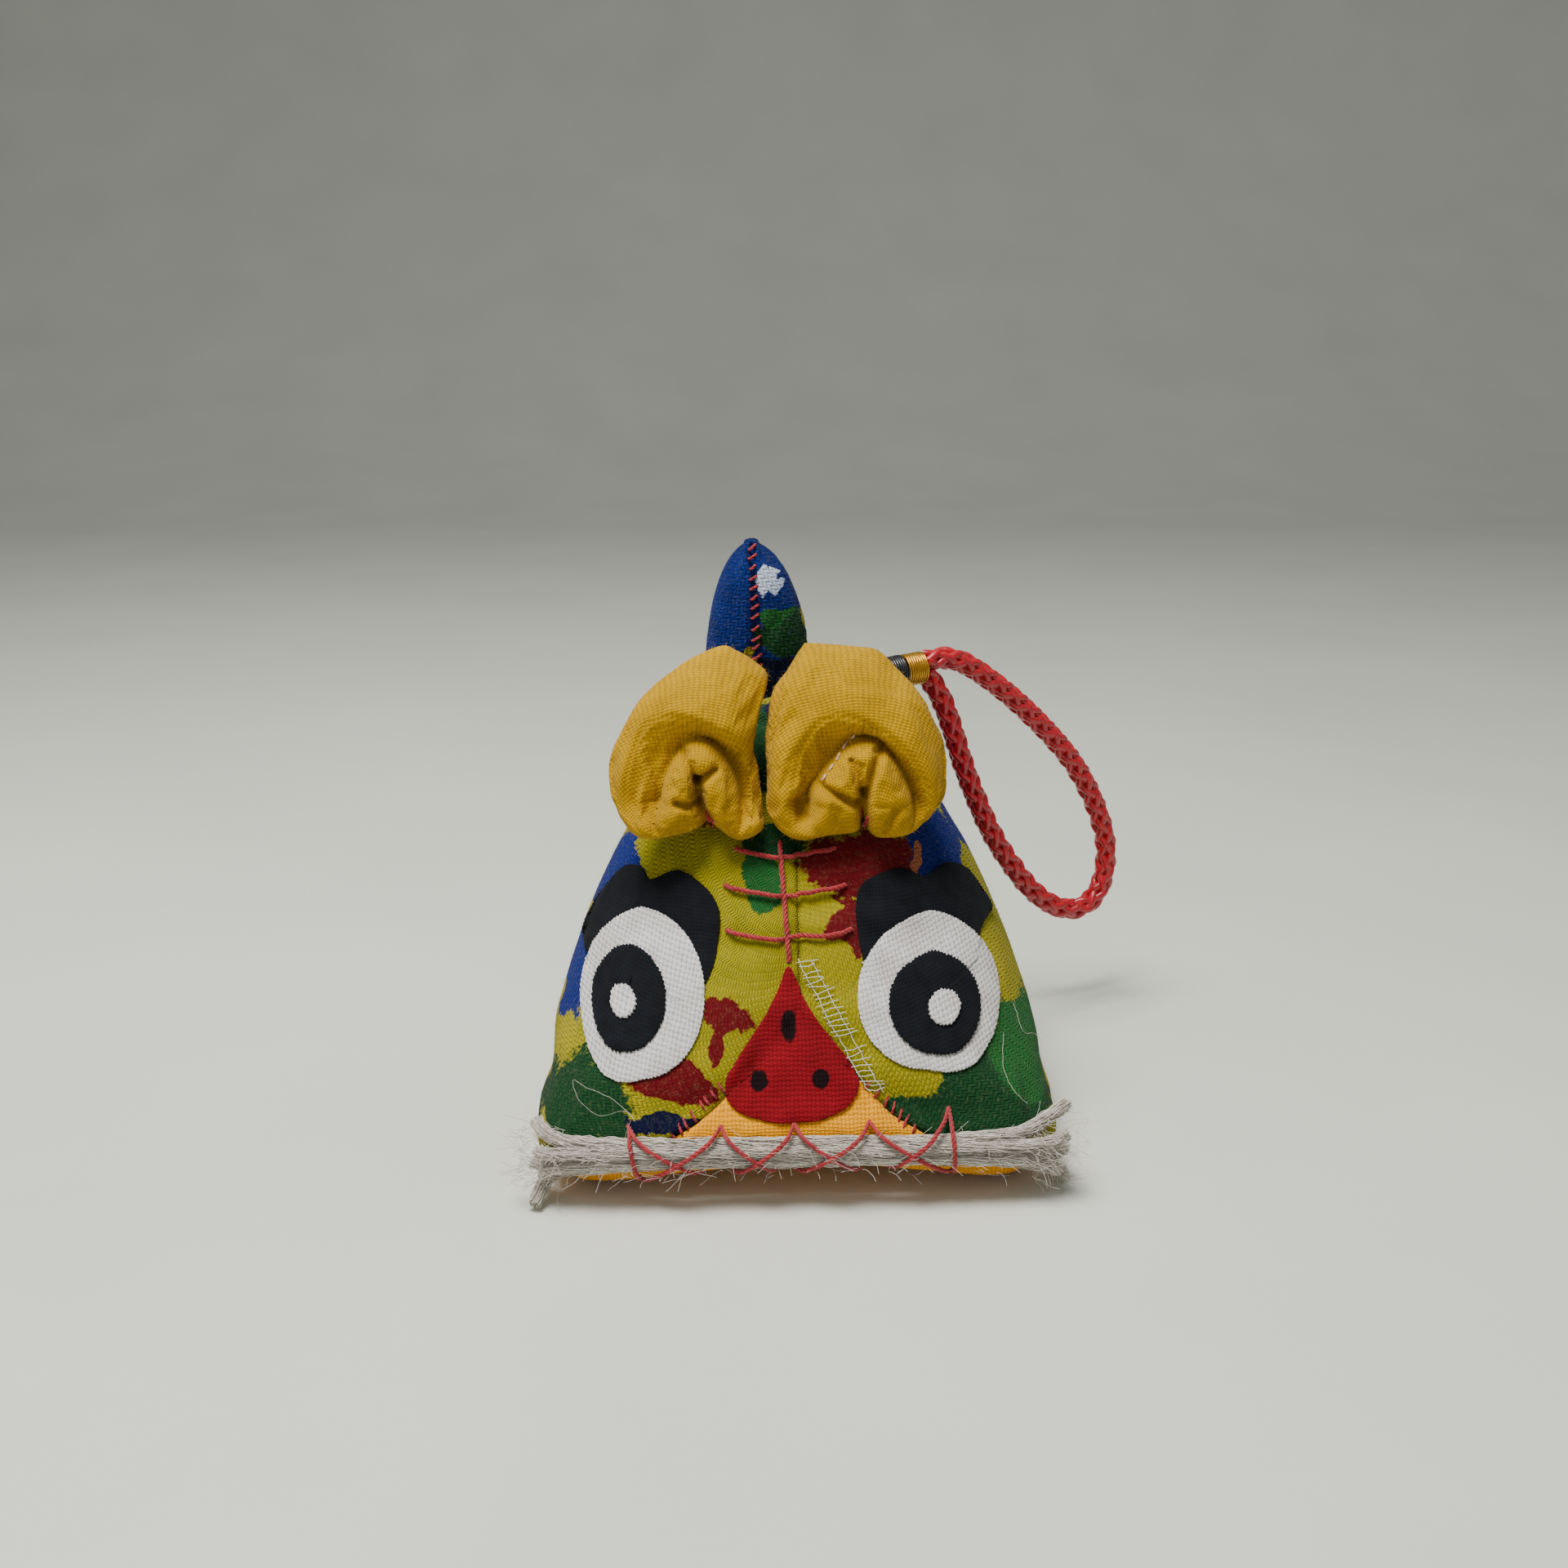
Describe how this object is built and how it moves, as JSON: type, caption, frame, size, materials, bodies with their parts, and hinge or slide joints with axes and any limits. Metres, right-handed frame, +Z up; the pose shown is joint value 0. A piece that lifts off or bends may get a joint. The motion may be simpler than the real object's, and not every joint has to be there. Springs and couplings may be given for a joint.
{
  "type": "stuffed cloth tiger charm",
  "caption": "Hand-sewn stuffed cloth tiger sachet with puffed ears, upright tail, sewn-on face, wool whiskers and a braided hanging loop.",
  "frame": {"origin": "on the flat of the underside, on the ground", "axes": "+Z up, the face looks along -Y, +X to the viewer's right"},
  "size_m": [0.0778, 0.0639, 0.0664],
  "materials": {
    "kapok_filling": "matte",
    "printed_cotton_twill": "matte",
    "amber_cotton": "matte",
    "tail_cotton": "matte",
    "mustard_cotton": "matte",
    "black_cotton": "matte",
    "white_cotton": "matte",
    "red_cotton": "matte",
    "grey_wool": "fuzzy",
    "black_silk_thread": "satin",
    "gold_thread": "metallic",
    "red_satin_cord": "satin",
    "red_sewing_thread": "satin"
  },
  "bodies": {
    "charm": {"body_stuffing": "kapok_filling", "body_panel_left": "printed_cotton_twill", "body_panel_right": "printed_cotton_twill", "base_panel": "amber_cotton", "base_seam_stitches": "red_sewing_thread", "tail_stuffing": "kapok_filling", "tail_panel_left": "tail_cotton", "tail_panel_right": "tail_cotton", "tail_seam_stitches": "red_sewing_thread", "ear_stuffing_left": "kapok_filling", "ear_stuffing_right": "kapok_filling", "ear_cover_left": "mustard_cotton", "ear_cover_right": "mustard_cotton", "ear_gather_thread_left": "red_sewing_thread", "ear_gather_thread_right": "red_sewing_thread", "brow_left": "black_cotton", "brow_right": "black_cotton", "eye_white_left": "white_cotton", "eye_white_right": "white_cotton", "eye_ring_left": "black_cotton", "eye_ring_right": "black_cotton", "eye_pupil_left": "white_cotton", "eye_pupil_right": "white_cotton", "nose_patch": "red_cotton", "forehead_stitches": "red_sewing_thread", "whisker_strand_1": "grey_wool", "whisker_strand_2": "grey_wool", "whisker_strand_3": "grey_wool", "whisker_strand_4": "grey_wool", "whisker_strand_5": "grey_wool", "mouth_stitches": "red_sewing_thread", "hanger_tack_thread": "red_sewing_thread"},
    "hanger": {"hanger_stem": "red_satin_cord", "hanger_black_binding": "black_silk_thread", "hanger_gold_binding": "gold_thread", "hanger_cord_loop": "red_satin_cord"}
  },
  "joints": [
    {"name": "hanger_swing", "type": "hinge", "parent": "charm", "child": "hanger", "pos_m": [0.0006, 0.008, 0.0491], "axis": [0.4002, -0.9164, 0], "range_deg": [0, 125]}
  ]
}
